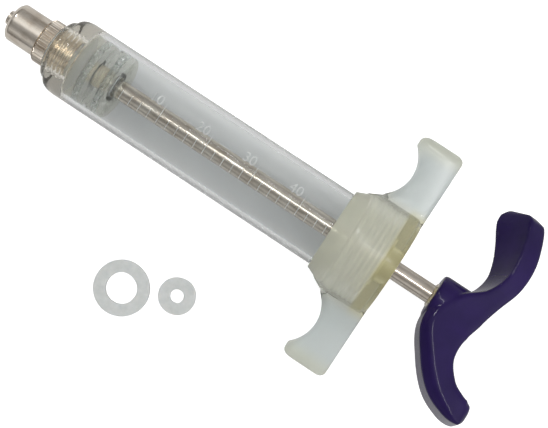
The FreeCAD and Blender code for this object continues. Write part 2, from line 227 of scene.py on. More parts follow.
def fluted(outer, depth, flutes=36):
    """A shape for turned() that cuts lengthwise flutes into the outer surface."""
    def shape(place, radius, angle):
        return radius - depth * wave(flutes, angle) * (radius > outer - SAME)
    return shape


# -------- materials

GRAIN_ROUGHNESS = 0.55
MIX_COLOURS, MIX_RESULT = (6, 7), 2  # the mix node's colour sockets, whose names its other sockets share


def new_material(name, **values):
    """A material with its shader's own sockets set, and its node tree."""
    made = bpy.data.materials.new(name)
    made.use_nodes = True
    tree = made.node_tree
    shader = tree.nodes["Principled BSDF"]
    for socket, setting in values.items():
        shader.inputs[socket.replace("_", " ")].default_value = setting
    return made, tree, shader


def even(value):
    """The same value three times: one scale for all axes, or a grey."""
    return (value, value, value)


def place_vector(tree, scale=(1, 1, 1)):
    """The point's own place on the object in metres, stretched along each axis."""
    coordinate = tree.nodes.new("ShaderNodeTexCoord")
    mapping = tree.nodes.new("ShaderNodeMapping")
    mapping.inputs["Scale"].default_value = scale
    tree.links.new(coordinate.outputs["Object"], mapping.inputs["Vector"])
    return mapping.outputs["Vector"]


def parts_of(tree, vector):
    """A vector's X, Y and Z."""
    node = tree.nodes.new("ShaderNodeSeparateXYZ")
    tree.links.new(vector, node.inputs["Vector"])
    return node.outputs


def calculated(tree, kind, operation, *sources):
    """The number that a maths node makes from its sources."""
    node = tree.nodes.new(kind)
    node.operation = operation
    for source, socket in zip(sources, node.inputs):
        tree.links.new(source, socket)
    return node.outputs["Value"]


def grain(tree, stretch, scale=1.5, detail=4.0):
    """Noise over the object, finer along the axes that are stretched more."""
    texture = tree.nodes.new("ShaderNodeTexNoise")
    texture.inputs["Scale"].default_value = scale
    texture.inputs["Detail"].default_value = detail
    texture.inputs["Roughness"].default_value = GRAIN_ROUGHNESS
    tree.links.new(place_vector(tree, stretch), texture.inputs["Vector"])
    return texture.outputs["Fac"]


def ramp(tree, factor, stops):
    """Colours along a factor; each stop is (position, (r, g, b))."""
    node = tree.nodes.new("ShaderNodeValToRGB")
    elements = node.color_ramp.elements
    while len(elements) < len(stops):
        elements.new(0.5)
    for element, (position, colour) in zip(elements, stops):
        element.position = position
        element.color = (*colour, 1)
    tree.links.new(factor, node.inputs["Fac"])
    return node.outputs["Color"]


def span(tree, factor, low, high, to_low, to_high, smooth=False):
    """A factor between low and high turned into a value between to_low and to_high."""
    node = tree.nodes.new("ShaderNodeMapRange")
    node.interpolation_type = "SMOOTHSTEP" if smooth else "LINEAR"
    for socket, setting in (("From Min", low), ("From Max", high), ("To Min", to_low), ("To Max", to_high)):
        node.inputs[socket].default_value = setting
    tree.links.new(factor, node.inputs["Value"])
    return node.outputs["Result"]


def fade(tree, place, start, end, before=0.0, after=1.0, smooth=True):
    """A value that goes from before to after between two places in millimetres."""
    return span(tree, place, start * MM, end * MM, before, after, smooth)


def blended(tree, factor, first, second):
    """Two colours mixed by a factor; a colour may be a link or a plain (r, g, b)."""
    node = tree.nodes.new("ShaderNodeMix")
    node.data_type = "RGBA"
    tree.links.new(factor, node.inputs["Factor"])
    for number, colour in zip(MIX_COLOURS, (first, second)):
        if isinstance(colour, tuple):
            node.inputs[number].default_value = (*colour, 1)
        else:
            tree.links.new(colour, node.inputs[number])
    return node.outputs[MIX_RESULT]


def colour_by(tree, shader, factor, *stops):
    """Let a factor choose the base colour; each stop is (position, (r, g, b))."""
    tree.links.new(ramp(tree, factor, stops), shader.inputs["Base Color"])


def rough_by(tree, shader, factor, low, high, smooth, rough):
    """Let a factor between low and high choose the roughness between smooth and rough."""
    tree.links.new(span(tree, factor, low, high, smooth, rough), shader.inputs["Roughness"])


def bump(tree, shader, height, strength, depth):
    """Raise the surface by a height field, over a real depth in millimetres."""
    node = tree.nodes.new("ShaderNodeBump")
    node.inputs["Strength"].default_value = strength
    node.inputs["Distance"].default_value = depth * MM
    tree.links.new(height, node.inputs["Height"])
    tree.links.new(node.outputs["Normal"], shader.inputs["Normal"])


def make_clear_plastic():
    """The barrel's clear plastic: fine lengthwise rubbing, and a yellow cast in the thick nose."""
    made, tree, shader = new_material("clear_plastic_look", IOR=1.18)
    cloud = grain(tree, (20, 60, 60))
    clear = ramp(tree, cloud, [(0.3, (0.955, 0.975, 0.98)), (0.7, (0.975, 0.99, 0.985))])
    along = parts_of(tree, place_vector(tree))["X"]
    nose = fade(tree, along, 30.0, 36.0, before=1.0, after=0.0)
    tree.links.new(blended(tree, nose, clear, (0.90, 0.87, 0.79)), shader.inputs["Base Color"])
    tree.links.new(span(tree, nose, 0.0, 1.0, 1.0, 0.93), shader.inputs["Transmission Weight"])
    rubbed = grain(tree, (40, 900, 900), scale=2.0, detail=6.0)
    rough_by(tree, shader, rubbed, 0.4, 0.75, 0.03, 0.12)
    bump(tree, shader, rubbed, 0.06, 0.05)
    return made


def make_cap_plastic():
    """The cap's plastic: frosted and yellowish at its thread, clearer outside it, bluish in the wings."""
    made, tree, shader = new_material("cap_plastic_look", IOR=1.30)
    place = parts_of(tree, place_vector(tree))
    aside = calculated(tree, "ShaderNodeMath", "ABSOLUTE", place["Y"])
    from_axis = calculated(tree, "ShaderNodeVectorMath", "LENGTH", place_vector(tree, (0, 1, 1)))
    skin = fade(tree, from_axis, 15.2, 15.8, smooth=False)
    wing = fade(tree, aside, 18.0, 24.0)
    tip = fade(tree, aside, 39.0, 46.0)
    rear = fade(tree, place["X"], 162.0, 164.0)
    thread = blended(tree, rear, (0.86, 0.87, 0.78), (0.90, 0.86, 0.62))
    outside = blended(tree, rear, (0.96, 0.96, 0.86), (0.95, 0.91, 0.62))
    winged = blended(tree, wing, blended(tree, skin, thread, outside), (0.80, 0.86, 0.86))
    tipped = blended(tree, tip, winged, (0.82, 0.84, 0.73))
    cloud = span(tree, grain(tree, even(60), scale=2.0), 0.35, 0.7, 0.0, 0.25)
    tree.links.new(blended(tree, cloud, tipped, (0.88, 0.89, 0.86)), shader.inputs["Base Color"])
    clear = span(tree, skin, 0.0, 1.0, 0.35, 0.90)
    tree.links.new(blended(tree, wing, clear, even(0.85)), shader.inputs["Transmission Weight"])
    haze = grain(tree, even(500), detail=6.0)
    rough_by(tree, shader, haze, 0.3, 0.7, 0.08, 0.20)
    bump(tree, shader, haze, 0.08, 0.06)
    return made


def make_piston_plastic():
    """The piston's clear plastic, which hardly shows inside the barrel."""
    made, tree, shader = new_material("piston_plastic_look", IOR=1.03, Transmission_Weight=0.82)
    cloud = grain(tree, even(150))
    colour_by(tree, shader, cloud, (0.3, (0.92, 0.92, 0.85)), (0.7, (0.98, 0.98, 0.94)))
    rough_by(tree, shader, cloud, 0.3, 0.7, 0.05, 0.16)
    return made


def make_white_plastic():
    """Opaque white plastic, a little worn."""
    made, tree, shader = new_material("white_plastic_look", Specular_IOR_Level=0.4)
    worn = grain(tree, even(600), detail=5.0)
    colour_by(tree, shader, worn, (0.35, (0.42, 0.43, 0.43)), (0.65, (0.60, 0.61, 0.60)))
    rough_by(tree, shader, worn, 0.3, 0.7, 0.35, 0.6)
    return made


def make_marking():
    """Faint etched marks that only show against something dark."""
    made, tree, shader = new_material("marking_look", IOR=1.05, Transmission_Weight=0.58, Roughness=0.4)
    worn = grain(tree, even(600), detail=5.0)
    colour_by(tree, shader, worn, (0.35, (0.66, 0.68, 0.68)), (0.65, (0.90, 0.92, 0.91)))
    return made


def make_silicone():
    """Soft translucent seal rubber with fine mould grain and a few dusty patches."""
    made, tree, shader = new_material("silicone_look", IOR=1.41, Transmission_Weight=0.35,
                                      Subsurface_Weight=0.5, Subsurface_Scale=0.002,
                                      Subsurface_Radius=(1.0, 0.9, 0.8))
    dust = grain(tree, even(300), detail=5.0)
    colour_by(tree, shader, dust, (0.3, (0.72, 0.75, 0.74)), (0.7, (0.84, 0.86, 0.85)))
    rough_by(tree, shader, dust, 0.3, 0.7, 0.38, 0.6)
    bump(tree, shader, grain(tree, even(2500)), 0.15, 0.05)
    return made


def make_clear_seal():
    """The piston's rings: clear soft rubber that almost disappears in the barrel."""
    made, tree, shader = new_material("clear_seal_look", IOR=1.02, Transmission_Weight=0.85)
    cloud = grain(tree, even(250))
    colour_by(tree, shader, cloud, (0.3, (0.93, 0.95, 0.92)), (0.7, (0.98, 0.99, 0.97)))
    rough_by(tree, shader, cloud, 0.3, 0.7, 0.15, 0.35)
    return made


NICKEL_STAIN = [(0.3, (0.54, 0.47, 0.39)), (0.55, (0.72, 0.66, 0.58)), (0.8, (0.82, 0.78, 0.71))]


def make_nickel(name, lines, tone):
    """Plated brass with fine tool lines, stretched round the piece or along it; tone darkens it."""
    made, tree, shader = new_material(name, Metallic=1.0)
    stain = grain(tree, (90, 220, 220), detail=6.0)
    toned = [(position, [part * tone for part in colour]) for position, colour in NICKEL_STAIN]
    colour_by(tree, shader, stain, *toned)
    tool = grain(tree, lines, scale=1.0, detail=3.0)
    rough_by(tree, shader, tool, 0.3, 0.7, 0.12, 0.22)
    bump(tree, shader, tool, 0.12, 0.03)
    return made


def make_brass():
    """Bare brass with fine turning lines."""
    made, tree, shader = new_material("brass_look", Metallic=1.0)
    tool = grain(tree, (4000, 60, 60), scale=1.0)
    colour_by(tree, shader, tool, (0.3, (0.50, 0.42, 0.30)), (0.7, (0.68, 0.59, 0.44)))
    rough_by(tree, shader, tool, 0.3, 0.7, 0.2, 0.38)
    return made


def make_purple_plastic():
    """Deep purple glossy plastic with faint flow clouds and soft orange-peel."""
    made, tree, shader = new_material("purple_plastic_look", Coat_Weight=0.14, Coat_Roughness=0.05,
                                      Specular_IOR_Level=0.08)
    flow = grain(tree, even(40), detail=5.0)
    colour_by(tree, shader, flow, (0.3, (0.013, 0.007, 0.050)), (0.7, (0.022, 0.011, 0.080)))
    fine = grain(tree, even(700), detail=5.0)
    rough_by(tree, shader, fine, 0.3, 0.75, 0.13, 0.20)
    bump(tree, shader, grain(tree, even(130), detail=2.0), 0.12, 0.3)
    return made


LOOKS = {
    "clear_plastic": make_clear_plastic(),
    "yellow_clear_plastic": make_cap_plastic(),
    "piston_plastic": make_piston_plastic(),
    "white_plastic": make_white_plastic(),
    "silicone": make_silicone(),
    "clear_seal": make_clear_seal(),
    "marking": make_marking(),
    "nickel": make_nickel("nickel_turned_look", lines=(4000, 40, 40), tone=1.0),
    "nickel_drawn": make_nickel("nickel_drawn_look", lines=(30, 2500, 2500), tone=0.78),
    "brass": make_brass(),
    "purple_plastic": make_purple_plastic(),
}


def fit(obj, body, slot, *nodes, look=None):
    """Give a finished piece its material (the look its slot names, unless another look is given), hide the
    CAD nodes it stands for, and attach it to the body it moves with.
    """
    obj.data.materials.clear()
    obj.data.materials.append(LOOKS[look or slot])
    if nodes:
        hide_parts(*nodes)
    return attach(obj, body)


# -------- nozzle

CONE_BORE, CONE_TIP, CONE_BASE = 1.2, 2.8, 3.1  # radii
SPIGOT_LEN, SPIGOT = 6.0, 4.88
KNURL_CHAMFER, KNURL_DEPTH, KNURL_RIBS, KNURL_POWER = 0.7, 0.60, 54, 0.7
STEM, STEM_EDGE, STEM_THREAD_DEPTH, STEM_PITCH = 7.35, 0.2, 0.6, 1.5
COLLAR_BORE, COLLAR_CHAMFER, COLLAR_THREAD_DEPTH, COLLAR_LEAD, COLLAR_STARTS = 4.9, 1.3, 0.45, 5.0, 2
STEM_RUN, COLLAR_RUN = (0.3, 0.2), (0.3, 0.3)  # plain lengths before and after a thread
WASHER_ROOM, WASHER_FLAT, WASHER_WAVE, WASHER_LOBES = 0.12, 0.3, 0.04, 3
GASKET_HOLE, GASKET_GAP, GASKET_ROOM = 2.75, 0.03, 0.1


def make_stem():
    """The bored cone, its spigot, the knurled grip and the thread that screws into the barrel's neck."""
    start, end = ends("nozzle_stem")
    knurl_x = ends("lock_collar")[1]
    washer_x, neck_x = ends("nozzle_washer")
    knurl = radius_of("nozzle_stem")
    spigot_x = knurl_x - SPIGOT_LEN

    def stem_shape(place, radius, angle):
        if knurl_x < place < washer_x and radius > knurl - KNURL_CHAMFER:
            return radius - KNURL_DEPTH * wave(KNURL_RIBS, angle) ** KNURL_POWER
        if place > neck_x and radius > STEM - STEM_EDGE:
            height = ridge(place, angle, STEM_PITCH, neck_x, end, STEM_RUN)
            return radius - STEM_THREAD_DEPTH * (1 - height)
        return radius

    stem = turned("nozzle_stem_fine", [
        (start, CONE_BORE, 0.15),
        (start, CONE_TIP, 0.25),
        (spigot_x, CONE_BASE, 0.2),
        (spigot_x, SPIGOT, 0.1),
        (knurl_x, SPIGOT, 0.1),
        (knurl_x, knurl - KNURL_CHAMFER, 0.15),
        (knurl_x + KNURL_CHAMFER, knurl, 0.2),
        (washer_x, knurl, 0.25),
        (washer_x, STEM, 0.1),
        (end, STEM, 0.3),
        (end, CONE_BORE, 0.15),
    ], sides=360, shape=stem_shape, rows=(knurl_x, end, 0.22), sharp=60)
    fit(stem, "nozzle", "nickel", "nozzle_stem")


def make_collar():
    """The plain collar round the cone, with a two-start thread inside it for a needle's hub."""
    start, end, outer = extent("lock_collar")
    spigot_x = end - SPIGOT_LEN

    def collar_shape(place, radius, angle):
        if abs(radius - COLLAR_BORE) < SAME and place < spigot_x:
            pitch = COLLAR_LEAD / COLLAR_STARTS
            height = ridge(place, angle, pitch, start, spigot_x, COLLAR_RUN, COLLAR_STARTS)
            return radius - COLLAR_THREAD_DEPTH * height
        return radius

    collar = turned("lock_collar_fine", [
        (start, COLLAR_BORE, 0.2),
        (start, outer - COLLAR_CHAMFER, 0.3),
        (start + COLLAR_CHAMFER, outer, 0.8),
        (end, outer, 0.15),
        (end, COLLAR_BORE, 0.1),
    ], sides=160, shape=collar_shape, rows=(start, end, 0.25), sharp=50)
    fit(collar, "nozzle", "nickel", "lock_collar")


def make_nozzle_seals():
    """The washer between grip and neck, squeezed a little out of round, and the gasket inside the neck."""
    start, end, outer = extent("nozzle_washer")

    def squeezed(place, radius, angle):
        lobes = 1 + math.sin(WASHER_LOBES * angle)
        return radius - WASHER_WAVE * lobes * (radius > STEM + WASHER_FLAT)

    corners = tube(start + SNUG, end - SNUG, STEM + WASHER_ROOM, outer, (0.15, 0.3, 0.3, 0.15))
    fit(turned("nozzle_washer_fine", corners, shape=squeezed), "nozzle_seal", "silicone", "nozzle_washer")

    start, end = ends("nozzle_gasket")
    outer = radius_of("nozzle_gasket") - GASKET_ROOM
    corners = tube(start + GASKET_GAP, end - GASKET_GAP, GASKET_HOLE, outer, (0.3, 0.5, 0.5, 0.3))
    fit(turned("nozzle_gasket_fine", corners), "barrel", "silicone", "nozzle_gasket")


# -------- barrel and its scale

NECK_BORE, NECK, NECK_ROUND, NECK_THREAD_DEPTH = 7.4, 9.2, 2.9, 0.5
SHOULDER_STEP, SHOULDER_LEN = 0.4, 5.7
BORE, OUTLET, LIP_LEN, FRONT_WALL, GASKET_SPACE = 12.7, 4.0, 0.5, 11.0, 2.6
TURNED_LEN, TURNED_STEP, TURNED_EDGE = 21.1, 0.5, 0.3
BARREL_THREAD_LEN, BARREL_THREAD_DEPTH, CAP_PITCH, NECK_RUN = 14.2, 0.5, 2.0, (0.4, 0.2)


def quarter(start, start_radius, length, rise, steps=10):
    """Corners of a bulging quarter curve from a steep start to a level end."""
    return [
        (start + length * (1 - math.cos(math.pi / 2 * step / steps)),
         start_radius + rise * math.sin(math.pi / 2 * step / steps), 0)
        for step in range(steps + 1)
    ]


def make_barrel():
    """The clear barrel: threaded neck, bulging shoulders, and a thread for the cap on its rear."""
    neck_x, end, outside = extent("barrel")
    chamber_x = neck_x + FRONT_WALL
    neck_thread_end = chamber_x - GASKET_SPACE
    turned_x = end - TURNED_LEN
    crest = outside - TURNED_STEP
    thread_x = end - BARREL_THREAD_LEN

    def barrel_shape(place, radius, angle):
        if place > thread_x and radius > crest - TURNED_EDGE:
            return radius - BARREL_THREAD_DEPTH * (1 - ridge(place, angle, CAP_PITCH, thread_x, end))
        if place < neck_thread_end and abs(radius - NECK_BORE) < SAME:
            height = ridge(place, angle, STEM_PITCH, neck_x, neck_thread_end, NECK_RUN)
            return radius + NECK_THREAD_DEPTH * height
        return radius

    step_x = neck_x + NECK_ROUND
    step = NECK + NECK_ROUND
    corners = [(neck_x, NECK_BORE, 0.15)]
    corners += quarter(neck_x, NECK, NECK_ROUND, NECK_ROUND)
    corners += quarter(step_x, step + SHOULDER_STEP, SHOULDER_LEN, outside - step - SHOULDER_STEP)
    corners += [
        (turned_x, outside, 0.12),
        (turned_x, crest, 0.1),
        (end, crest, 0.3),
        (end, BORE, 0.3),
        (chamber_x, BORE, 0.9),
        (chamber_x, OUTLET, 0.2),
        (chamber_x - LIP_LEN, OUTLET, 0.1),
        (chamber_x - LIP_LEN, NECK_BORE, 0.1),
    ]
    points = divided(rounded(corners), neck_x, neck_thread_end, 0.3)
    points = divided(points, thread_x, end, 0.33)
    barrel = as_object("barrel_fine", lathe_mesh(points, 128, shape=barrel_shape), sharp=50)
    fit(barrel, "barrel", "clear_plastic", "barrel")


SCALE_ZERO, SCALE_TEN = 49.4, 19.77  # the zero mark, and the length of ten millilitres
SCALE_MARKS, SCALE_GAP = 5, 1.0  # marks to each ten millilitres, and the plain length before the cap
TICK_WIDTH, MARK_HEIGHT = 0.24, 0.04
TICK_END, TICK_TOP = 0.6, 0.7  # shares of the width, at a mark's ends and on its top
LONG_TICK, SHORT_TICK = (-3.6, 4.6), (-3.6, 0.3)
NUMERAL_SIZE, NUMERAL_BEVEL, NUMERAL_ASIDE, NUMERAL_UP = 5.4, 0.02, -4.2, 4.6


def on_barrel(along, across, lift):
    """A point on the barrel's top, across measured round the surface from the top towards +Y."""
    outside = radius_of("barrel")
    angle = across / outside
    reach = (outside + lift) * MM
    return Vector((along * MM, reach * math.sin(angle), reach * math.cos(angle)))


def add_tick(bm, place, low, high, steps=10):
    """A raised line round the barrel from low to high, narrower at its two ends and a little sunk in."""
    rows = []
    profile = [(-1, -SNUG), (-TICK_TOP, MARK_HEIGHT), (TICK_TOP, MARK_HEIGHT), (1, -SNUG)]
    for step in range(steps + 1):
        across = low + (high - low) * step / steps
        width = TICK_WIDTH * (TICK_END if step in (0, steps) else 1.0)
        rows.append([
            bm.verts.new(on_barrel(place + side * width / 2, across, lift))
            for side, lift in profile
        ])
    add_skin(bm, rows)


def make_numeral(count):
    """A printed number beside the long mark that ends this many tens."""
    text = bpy.data.curves.new("numeral", "FONT")
    text.body = str(10 * count)
    text.size = NUMERAL_SIZE
    text.align_x = text.align_y = "CENTER"
    text.extrude = MARK_HEIGHT / 2
    text.bevel_depth = NUMERAL_BEVEL
    holder = bpy.data.objects.new("numeral", text)
    bpy.context.scene.collection.objects.link(holder)
    mesh = baked(holder)
    centre = SCALE_ZERO + SCALE_TEN * count + NUMERAL_ASIDE
    for vert in mesh.vertices:
        x, y, z = vert.co
        vert.co = on_barrel(centre + x, NUMERAL_UP + y, z + MARK_HEIGHT / 2)
    fit(show_mesh("scale_number_%d" % (10 * count), mesh), "barrel", "white_plastic", look="marking")


def make_scale():
    """Thin printed marks on the barrel: a mark every 2 ml, a long one and a number every 10 ml."""
    length = ends("grip_cap")[0] - SCALE_GAP - SCALE_ZERO
    step = SCALE_TEN / SCALE_MARKS
    bm = bmesh.new()
    for number in range(int(length / step) + 1):
        low, high = LONG_TICK if number % SCALE_MARKS == 0 else SHORT_TICK
        add_tick(bm, SCALE_ZERO + step * number, low, high)
    fit(as_object("scale_marks", bm), "barrel", "white_plastic", look="marking")
    for count in range(1, int(length / SCALE_TEN) + 1):
        make_numeral(count)


# -------- finger-grip cap

CAP_MOUTH, CAP_LIP, CAP_LIP_LEN, CAP_LIP_STEP = 16.2, 18.2, 3.5, 0.5
CAP_MOUTH_LEN, CAP_MOUTH_ROOM, CAP_REAR_CHAMFER = 4.4, 0.25, 2.0
CAP_THREAD_STEP, CAP_THREAD_DEPTH, CAP_FLOOR_GAP = 0.45, 0.35, 0.1
STOP_ROOM, STOP_HOLE, BUSH_HOLE = 0.1, 3.95, 3.7
WING_LEN, WING_HALF = 17.6, 6.0
WING_FRONT_ROUND, WING_REAR_ROUND, WING_TIP_ROUND, WING_TIP_INSET = 3.8, 1.4, 2.6, 2.0
WING_STEPS, WING_TIP_STEPS, WING_CORNER_STEPS = 56, 8, 7
SCOOP_RADIUS, SCOOP_TO_TIP, SCOOP_DEPTH = 14.0, 14.9, 4.8


def wing_front(aside, cap_x, end, span_y):
    """Where the wing's front edge lies, this far from the axis."""
    front = end - WING_LEN
    centre_x = front + SCOOP_DEPTH - SCOOP_RADIUS
    centre_y = span_y - SCOOP_TO_TIP
    body = radius_of("grip_cap")
    lip_x = cap_x + CAP_LIP_LEN + CAP_LIP_STEP
    share = min(1.0, max(0.0, (aside - CAP_LIP) / (body - CAP_LIP)))
    edge = lip_x + (front - lip_x) * share
    reach = SCOOP_RADIUS ** 2 - (aside - centre_y) ** 2
    if reach > 0:
        edge = max(edge, centre_x + math.sqrt(reach))
    return edge


def wing_section(aside, front, rear, inset):
    """One slice of the wing plate square to Y: a rectangle with broad front and small rear rounding."""
    front, rear, half = front + inset, rear - inset, WING_HALF - inset
    points = []
    for centre_x, side, easing, start in (
        (front + WING_FRONT_ROUND, -1, WING_FRONT_ROUND, 180),
        (rear - WING_REAR_ROUND, -1, WING_REAR_ROUND, 270),
        (rear - WING_REAR_ROUND, 1, WING_REAR_ROUND, 0),
        (front + WING_FRONT_ROUND, 1, WING_FRONT_ROUND, 90),
    ):
        for step in range(WING_CORNER_STEPS + 1):
            angle = math.radians(start + 90 * step / WING_CORNER_STEPS)
            x = centre_x + easing * math.cos(angle)
            z = side * (half - easing) + easing * math.sin(angle)
            points.append(Vector((x, aside, z)))
    return points


def wing_plate(cap_x, end, span_y):
    """The flat plate that carries both wings, as slices from one tip to the other."""
    quarter_turns = [math.pi / 2 * step / WING_TIP_STEPS for step in range(WING_TIP_STEPS + 1)]
    places = [span_y - WING_TIP_ROUND * (1 - math.cos(angle)) for angle in quarter_turns]
    inner = places[-1]
    places += [inner * (1 - step / WING_STEPS) for step in range(1, WING_STEPS + 1)]
    places += [-place for place in reversed(places[:-1])]
    bm = bmesh.new()
    rings = []
    for place in places:
        aside = abs(place)
        over = max(0.0, aside - inner)
        inset = WING_TIP_ROUND - math.sqrt(max(0.0, WING_TIP_ROUND ** 2 - over ** 2))
        inset = min(inset, WING_TIP_INSET)
        front = wing_front(min(aside, inner), cap_x, end, span_y)
        rings.append([bm.verts.new(point * MM) for point in wing_section(place, front, end, inset)])
    add_skin(bm, rings)
    return as_object("wing_plate", bm)


def make_cap():
    """The screw cap with its two finger wings, threaded inside and bored for the washer and the bush."""
    cap_x, end, body = extent("grip_cap")
    span_y = BOXES["grip_cap"][1].y / MM
    barrel_end = ends("barrel")[1]
    floor_x = barrel_end + CAP_FLOOR_GAP
    bush_x = ends("rod_bush")[0]
    mouth_end = cap_x + CAP_MOUTH_LEN
    crest = radius_of("barrel") - CAP_THREAD_STEP
    mouth = crest + CAP_MOUTH_ROOM
    thread_x = barrel_end - BARREL_THREAD_LEN
    bush = radius_of("rod_bush") + SNUG
    washer = radius_of("stop_washer") + STOP_ROOM

    def bore_shape(place, radius, angle):
        if mouth_end < place < floor_x and abs(radius - crest) < SAME:
            return radius + CAP_THREAD_DEPTH * ridge(place, angle, CAP_PITCH, thread_x, floor_x)
        return radius

    shell = turned("cap_shell", [
        (cap_x, 0, 0),
        (cap_x, CAP_MOUTH, 0.25),
        (cap_x + CAP_LIP_LEN, CAP_LIP - CAP_LIP_STEP, 0.25),
        (cap_x + CAP_LIP_LEN + CAP_LIP_STEP, CAP_LIP, 0.2),
        (end - WING_LEN, body, 1.6),
        (end - CAP_REAR_CHAMFER, body, 1.2),
        (end, body - CAP_REAR_CHAMFER, 0.8),
        (end, 0, 0),
    ], sides=160, closed=False)
    whole = combined("cap_solid", shell, wing_plate(cap_x, end, span_y), "UNION")
    bore = turned("cap_bore", [
        (cap_x - OVERSHOOT, 0, 0),
        (cap_x - OVERSHOOT, mouth, 0),
        (mouth_end, mouth, 0.1),
        (mouth_end, crest, 0.1),
        (floor_x, crest, 0.2),
        (floor_x, washer, 0.15),
        (bush_x, washer, 0.15),
        (bush_x, bush, 0.1),
        (end + OVERSHOOT, bush, 0),
        (end + OVERSHOOT, 0, 0),
    ], sides=160, closed=False, shape=bore_shape, rows=(thread_x, floor_x, 0.25))
    cap = combined("grip_cap_fine", whole, bore, "DIFFERENCE")
    fit(cap, "cap", "yellow_clear_plastic", "grip_cap")


def make_cap_fittings():
    """The soft washer that stops the piston, and the white bush that guides the rod."""
    start, end, outer = extent("stop_washer")
    corners = tube(start, end, STOP_HOLE, outer, (0.2, 0.4, 0.4, 0.2))
    fit(turned("stop_washer_fine", corners), "cap_seal", "silicone", "stop_washer")

    start, end, outer = extent("rod_bush")
    corners = tube(start, end, BUSH_HOLE, outer, (0.3, 0.2, 0.2, 0.5))
    fit(turned("rod_bush_fine", corners), "cap", "white_plastic", "rod_bush")


# -------- plunger

RING_HUB, RING_HOLE, RING_GAP, RING_STEP, RING_LAND, RING_PLAY = 5.9, 6.12, 0.1, 0.35, 0.45, 0.05
PLATE_CHAMFER, WAIST_DEPTH, WAIST_FLOOR, WAIST_TOP = 0.9, 0.7, 0.7, 1.1
REAR_CHAMFER_LEN, REAR_CHAMFER_DEPTH, ROD_HOLE, ROD_DEPTH = 0.5, 0.7, 3.62, 0.9
INSERT_HOLE, INSERT, INSERT_FLUTE = 4.27, 4.25, 0.15
STUD, STUD_LEN, STUD_THREAD_DEPTH, STUD_PITCH = 2.5, 8.5, 0.35, 0.8
REAR_STUD, REAR_THREAD_DEPTH, REAR_PITCH = 3.0, 0.4, 1.0
STUD_RUN, REAR_RUN = (0.5, 0.8), (0.8, 0.4)
FERRULE_STEP, FERRULE_CHAMFER, HANDLE_INSERT_FLUTE = 0.9, 0.8, 0.2


def make_piston_front():
    """The piston's clear front plate, with the hub that carries the front ring."""
    start, hub_x, outer = extent("piston_front_plate")
    insert_x = ends("piston_insert")[0]
    face = ends("piston_front_ring")[0] - RING_GAP
    plate = turned("piston_front_plate_fine", [
        (start, 0, 0),
        (start, outer - PLATE_CHAMFER, 0.5),
        (start + PLATE_CHAMFER, outer, 0.4),
        (face, outer, 0.25),
        (face, RING_HUB, 0.2),
        (hub_x, RING_HUB, 0.1),
        (hub_x, INSERT_HOLE, 0.1),
        (insert_x, INSERT_HOLE, 0.2),
        (insert_x, 0, 0),
    ], closed=False)
    fit(plate, "plunger", "piston_plastic", "piston_front_plate")


def make_piston_core():
    """The piston's clear waisted core, with the hub that carries the rear ring."""
    start, end = ends("piston_core")
    outer = radius_of("piston_front_plate")
    rear_face = ends("piston_rear_ring")[0] - RING_GAP
    waist = (start + rear_face) / 2
    core = turned("piston_core_fine", [
        (start, INSERT_HOLE, 0.1),
        (start, outer, 0.3),
        (waist - WAIST_TOP, outer, 0.3),
        (waist - WAIST_FLOOR, outer - WAIST_DEPTH, 0.3),
        (waist + WAIST_FLOOR, outer - WAIST_DEPTH, 0.3),
        (waist + WAIST_TOP, outer, 0.3),
        (rear_face, outer, 0.3),
        (rear_face, RING_HUB, 0.2),
        (end, RING_HUB, 0.1),
        (end, INSERT_HOLE, 0.1),
    ])
    fit(core, "plunger", "piston_plastic", "piston_core")


def make_piston_rings():
    """The two soft rings that seal the piston in the barrel."""
    for node in ("piston_front_ring", "piston_rear_ring"):
        start, end, reach = extent(node)
        ring = turned(node + "_fine", [
            (start + RING_PLAY, RING_HOLE, 0.4),
            (start + RING_PLAY, reach - RING_STEP, 0.3),
            (start + RING_LAND, reach, 0.3),
            (end - RING_LAND, reach, 0.3),
            (end - RING_PLAY, reach - RING_STEP, 0.3),
            (end - RING_PLAY, RING_HOLE, 0.4),
        ])
        fit(ring, "piston_seals", "silicone", node, look="clear_seal")


def make_piston_rear():
    """The piston's clear rear plate, recessed for the rod."""
    start, end = ends("piston_rear_plate")
    outer = radius_of("piston_front_plate")
    rod_x = start + ROD_DEPTH
    plate = turned("piston_rear_plate_fine", [
        (start, STUD + SNUG, 0.1),
        (start, outer, 0.3),
        (end - REAR_CHAMFER_LEN, outer, 0.4),
        (end, outer - REAR_CHAMFER_DEPTH, 0.4),
        (end, ROD_HOLE, 0.2),
        (rod_x, ROD_HOLE, 0.1),
        (rod_x, STUD + SNUG, 0.1),
    ])
    fit(plate, "plunger", "piston_plastic", "piston_rear_plate")


def make_piston_insert():
    """The fluted brass insert that the rod's front stud screws into."""
    start, end = ends("piston_insert")
    stud_x = ends("rod")[0]
    insert = turned("piston_insert_fine", [
        (start, 0, 0),
        (start, INSERT, 0.4),
        (end, INSERT, 0.3),
        (end, STUD + SNUG, 0.2),
        (stud_x, STUD + SNUG, 0.2),
        (stud_x, 0, 0),
    ], sides=240, closed=False, rows=(start, end, 0.4), sharp=60, shape=fluted(INSERT, INSERT_FLUTE))
    fit(insert, "plunger", "brass", "piston_insert")


